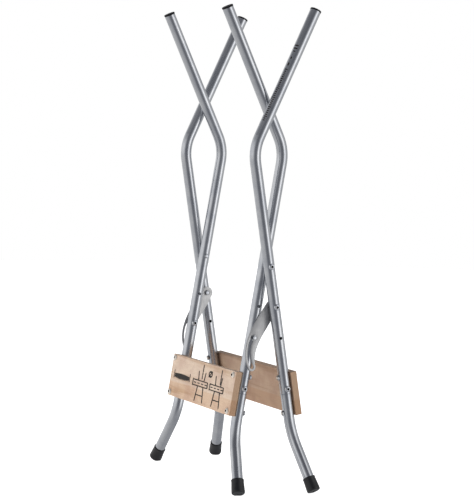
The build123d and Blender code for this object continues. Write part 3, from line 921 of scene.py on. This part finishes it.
class SAWHORSE_OT_studio(bpy.types.Operator):
    """Makes the floor, the surround, the lights and the camera"""
    bl_idname = "sawhorse.studio"
    bl_label = "Studio"

    def execute(self, context):
        scene = context.scene
        studio = scene.sawhorse.studio
        scene.view_settings.view_transform = "Standard"
        self.make_camera(scene, studio)
        self.make_surround(scene, studio)
        self.make_floor(scene, studio)
        self.make_key(scene, studio)
        return {"FINISHED"}

    def make_camera(self, scene, studio):
        data = bpy.data.cameras.new("studio_camera")
        data.lens = studio.lens
        data.sensor_width = 36.0  # the frame that the lens setting is given for
        camera = bpy.data.objects.new("studio_camera", data)
        scene.collection.objects.link(camera)
        a, e, r = studio.azimuth, studio.elevation, studio.roll
        level = Vector((cos(a), sin(a), 0))
        back = Vector((sin(a) * cos(e), -cos(a) * cos(e), sin(e)))
        upright = back.cross(level)
        right = level * cos(r) + upright * sin(r)
        up = upright * cos(r) - level * sin(r)
        camera.matrix_world = (
            Matrix.Translation(studio.camera_place) @ Matrix((right, up, back)).transposed().to_4x4())
        data.clip_start, data.clip_end = 0.1, 60.0
        scene.camera = camera

    def wall_tone(self, value):
        """Grey of the surround, cooler where it is dark."""
        lit = min(value / 0.3, 1.0)
        return (value * (0.92 + 0.08 * lit), value * (0.96 + 0.04 * lit), value * (1.1 - 0.1 * lit), 1.0)

    def make_surround(self, scene, studio):
        """Bright walls with a dark panel behind the camera and a tall softbox to its right."""
        world = bpy.data.worlds.new("studio_surround")
        world.use_nodes = True
        tree = world.node_tree
        tree.nodes.clear()
        direction = add(tree, "TexCoord").outputs["Generated"]
        towards_camera = studio.azimuth - pi / 2
        turned = add(tree, "Mapping", {
            "Vector": direction, "Rotation": (0, 0, -towards_camera)}, vector_type="POINT")
        round_about = add(tree, "TexGradient", {"Vector": turned}, gradient_type="RADIAL")
        # Brightness against the turn away from the camera, in degrees, in four belts from the floor up.
        floor = [(-180, .50), (-97, .62), (-60, .56), (0, .42), (60, .44), (120, .42), (180, .50)]
        softbox = [(14, .19), (27, .22), (38, .5), (48, .95), (56, 1.6), (68, 1.6), (78, .95), (88, .62),
                   (118, .58), (140, .48)]
        skirting = [(-180, .62), (-133, .76), (-97, .68), (-60, .64), (-40, .60), (-27, .42), (-14, .24),
                    *softbox, (180, .62)]
        walls = [(-180, .66), (-133, .85), (-97, .92), (-60, .95), (-42, .82), (-27, .46), (-14, .24),
                 *softbox, (180, .66)]
        ceiling = [(-180, .26), (-97, .20), (-60, .17), (-25, .16), (12, .15), (27, .17), (38, .40), (48, .8),
                   (56, 1.1), (70, 1.1), (80, .7), (90, .42), (120, .34), (180, .26)]
        tones = [
            add(tree, "ValToRGB", {"Fac": round_about.outputs["Fac"]}, stops=[
                (d / 360 + 0.5, self.wall_tone(v / 2)) for d, v in table])
            for table in (floor, skirting, walls, ceiling)
        ]
        height = add(tree, "SeparateXYZ", [direction])
        blends = ((-36, -16), (-9, 4), (12, 42))  # elevations where one belt becomes the next
        for i, (low, high) in enumerate(blends):
            rise = add(tree, "MapRange", [
                height.outputs["Z"], sin(radians(low)), sin(radians(high)), 0.0, 1.0],
                interpolation_type="SMOOTHSTEP")
            tones[i + 1] = add(tree, "Mix", {
                0: rise, 6: tones[i], 7: tones[i + 1]}, data_type="RGBA")
        lit = add(tree, "Background", {"Color": tones[-1], "Strength": studio.surround})
        seen = add(tree, "Background", {"Color": (1, 1, 1, 1), "Strength": 1.0})
        direct = add(tree, "LightPath").outputs["Is Camera Ray"]
        mixed = add(tree, "MixShader", [direct, lit, seen])
        add(tree, "OutputWorld", {"Surface": mixed})
        scene.world = world

    def make_floor(self, scene, studio):
        """Pale floor, a wide disc a hair below the feet."""
        radius, below, glow_strength = 7.0, 0.2 * MM, 0.93
        bm = bmesh.new()
        bmesh.ops.create_circle(bm, cap_ends=True, segments=96, radius=radius)
        bmesh.ops.translate(bm, verts=bm.verts, vec=(0, 0, -below))
        mesh = bpy.data.meshes.new("studio_floor")
        bm.to_mesh(mesh)
        bm.free()
        material, tree = new_material("pale_studio_floor")
        matt = add(tree, "BsdfDiffuse", {"Color": studio.floor})
        glow = add(tree, "Emission", {"Color": studio.floor, "Strength": glow_strength})
        finish_material(tree, add(tree, "AddShader", [matt, glow]))
        mesh.materials.append(material)
        floor = bpy.data.objects.new("studio_floor", mesh)
        scene.collection.objects.link(floor)
        floor.visible_glossy = False

    def make_key(self, scene, studio):
        """Large soft light in front of the boards."""
        data = bpy.data.lights.new("front_softbox", "AREA")
        side, target, away = 2.2, Vector((0, 0, 0.45)), Vector((-0.4, -3.0, 1.9))
        data.shape, data.size, data.size_y = "RECTANGLE", side, side
        data.energy = studio.key
        light = bpy.data.objects.new("front_softbox", data)
        scene.collection.objects.link(light)
        light.location = target + away
        light.rotation_mode = "QUATERNION"
        light.rotation_quaternion = (target - light.location).to_track_quat("-Z", "Y")
        light.visible_glossy = False
        light.visible_camera = False


class SAWHORSE_PT_sidebar(bpy.types.Panel):
    """Lists the sawhorse's operators and settings"""
    bl_idname = "SAWHORSE_PT_sidebar"
    bl_label = "Folding Sawhorse"
    bl_space_type = "VIEW_3D"
    bl_region_type = "UI"
    bl_category = "Sawhorse"

    def draw(self, context):
        column = self.layout.column(align=True)
        for operator in OPERATORS:
            column.operator(operator.bl_idname)
        for name, group in GROUPS.items():
            box = self.layout.box()
            box.label(text=group.__doc__)
            values = getattr(context.scene.sawhorse, name)
            for key in group.__annotations__:
                box.prop(values, key)


OPERATORS = (
    SAWHORSE_OT_tubes, SAWHORSE_OT_stays, SAWHORSE_OT_fasteners, SAWHORSE_OT_boards,
    SAWHORSE_OT_board_print, SAWHORSE_OT_arm_scale, SAWHORSE_OT_rubber_feet, SAWHORSE_OT_top_plugs,
    SAWHORSE_OT_studio,
)
CLASSES = (*GROUPS.values(), SawhorseSettings, *OPERATORS, SAWHORSE_PT_sidebar)


def register():
    for cls in CLASSES:
        bpy.utils.register_class(cls)
    bpy.types.Scene.sawhorse = bpy.props.PointerProperty(type=SawhorseSettings)


def unregister():
    del bpy.types.Scene.sawhorse
    for cls in reversed(CLASSES):
        bpy.utils.unregister_class(cls)


def main():
    register()
    for operator in OPERATORS:
        group, name = operator.bl_idname.split(".")
        getattr(getattr(bpy.ops, group), name)()


if __name__ == "__main__":
    main()
